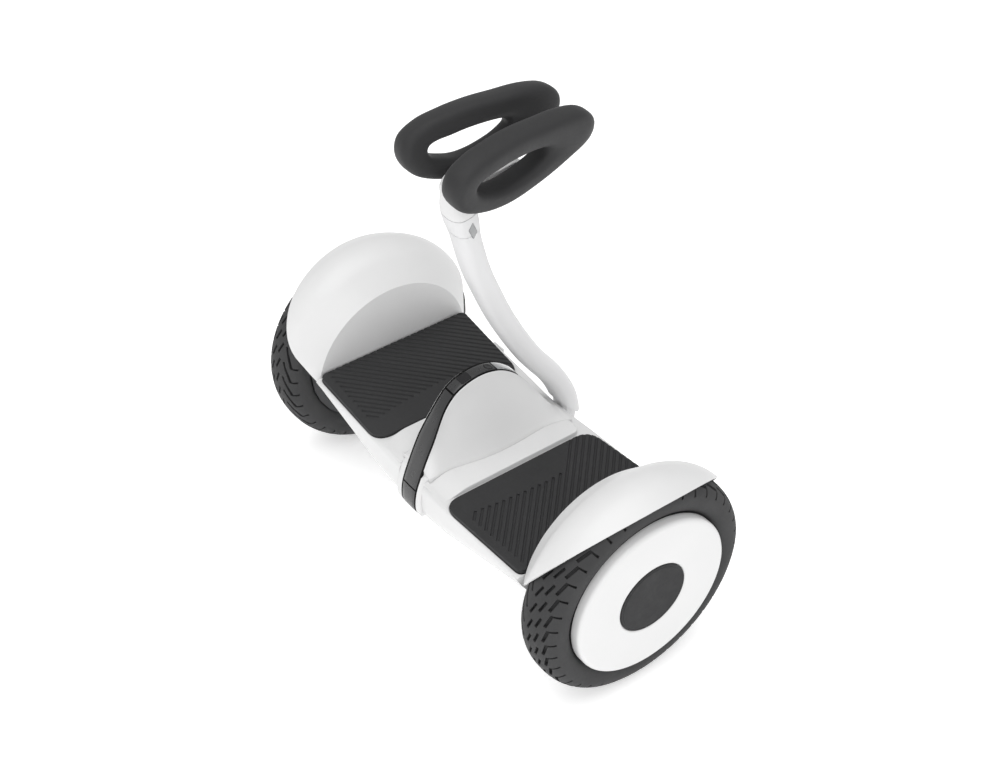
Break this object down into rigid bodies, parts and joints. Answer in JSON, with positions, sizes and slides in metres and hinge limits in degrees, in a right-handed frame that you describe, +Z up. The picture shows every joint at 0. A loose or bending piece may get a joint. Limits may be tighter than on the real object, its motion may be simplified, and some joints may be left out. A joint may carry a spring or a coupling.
{
  "type": "self balancing personal transporter",
  "caption": "Two-wheeled self balancing personal transporter: white deck with ribbed foot pads, a ridge between the feet, and a curved knee bar with a pair of padded rings.",
  "frame": {"origin": "on the ground, midway between the wheels and under their axle", "axes": "+X to the rider's right, +Y towards the knee bar (forwards), +Z up"},
  "size_m": [0.5576, 0.262, 0.5581],
  "materials": {
    "white_plastic": "white moulded plastic, satin gloss",
    "white_alloy": "white painted light alloy",
    "tyre": "dark grey tyre rubber",
    "pad_rubber": "dark grey ribbed rubber",
    "padding": "dark grey soft skin over foam",
    "black_gloss": "smoked near-black plastic",
    "grey_lens": "light grey lens",
    "dark_plastic": "dark grey matt plastic",
    "cast_alloy": "cast light alloy",
    "steel": "bright steel",
    "circuit": "green circuit board",
    "battery_case": "dark coated light alloy case"
  },
  "bodies": {
    "chassis": {"chassis_frame": "cast_alloy", "body_shell": "white_plastic", "belly_pan": "white_plastic", "hump_cover": "white_plastic", "ridge_strip_rear": "black_gloss", "ridge_strip_top": "black_gloss", "tail_lamp_lens": "black_gloss", "front_lamp_lens": "grey_lens", "display_window": "black_gloss", "fender_left": "white_plastic", "fender_right": "white_plastic", "footpad_left": "pad_rubber", "footpad_right": "pad_rubber", "foot_sensor_left": "circuit", "foot_sensor_right": "circuit", "battery_pack": "battery_case", "control_board": "circuit", "charge_socket": "dark_plastic", "axle_clamp_left": "cast_alloy", "axle_clamp_right": "cast_alloy", "axle_shaft_left": "steel", "axle_shaft_right": "steel", "stator_left": "cast_alloy", "stator_right": "cast_alloy", "outer_bearing_left": "steel", "outer_bearing_right": "steel", "inner_bearing_left": "steel", "inner_bearing_right": "steel", "belly_screw_1": "steel", "belly_screw_2": "steel", "belly_screw_3": "steel", "belly_screw_4": "steel", "steering_bearing_rear": "steel", "steering_bearing_front": "steel", "centring_bush": "pad_rubber"},
    "wheel_left": {"tyre_left": "tyre", "rim_left": "cast_alloy", "motor_cover_left": "cast_alloy", "hub_disc_left": "white_plastic", "hub_cap_left": "dark_plastic"},
    "wheel_right": {"tyre_right": "tyre", "rim_right": "cast_alloy", "motor_cover_right": "cast_alloy", "hub_disc_right": "white_plastic", "hub_cap_right": "dark_plastic"},
    "steering": {"steering_shaft": "steel", "neck_casting": "cast_alloy", "knee_bar": "white_alloy", "bar_bushing": "dark_plastic"},
    "head": {"knee_head": "white_plastic", "ring_bolt_rear": "steel", "ring_bolt_front": "steel", "knee_ring_left": "padding", "knee_ring_right": "padding"},
    "release": {"release_button": "dark_plastic"},
    "power": {"power_button": "dark_plastic"},
    "charge_flap": {"charge_port_flap": "pad_rubber"}
  },
  "joints": [
    {"name": "wheel_left_spin", "type": "hinge", "parent": "chassis", "child": "wheel_left", "pos_m": [-0.2439, 0, 0.131], "axis": [1, 0, 0], "continuous": true},
    {"name": "wheel_right_spin", "type": "hinge", "parent": "chassis", "child": "wheel_right", "pos_m": [0.2439, 0, 0.131], "axis": [1, 0, 0], "continuous": true},
    {"name": "steering_lean", "type": "hinge", "parent": "chassis", "child": "steering", "pos_m": [0, 0.1, 0.126], "axis": [0, 1, 0], "range_deg": [-12, 12], "stiffness_Nm_per_rad": 25},
    {"name": "knee_head_height", "type": "slide", "parent": "steering", "child": "head", "axis": [0, -0.237, 0.9715], "range_m": [0, 0.03]},
    {"name": "release_button_press", "type": "slide", "parent": "steering", "child": "release", "axis": [-1, 0, 0], "range_m": [0, 0.0012], "stiffness_N_per_m": 800},
    {"name": "power_button_press", "type": "slide", "parent": "chassis", "child": "power", "axis": [0, -0.2609, -0.9654], "range_m": [0, 0.0012], "stiffness_N_per_m": 800},
    {"name": "charge_flap_hinge", "type": "hinge", "parent": "chassis", "child": "charge_flap", "pos_m": [-0.12, 0.1009, 0.1496], "axis": [1, 0, 0], "range_deg": [0, 110]}
  ]
}
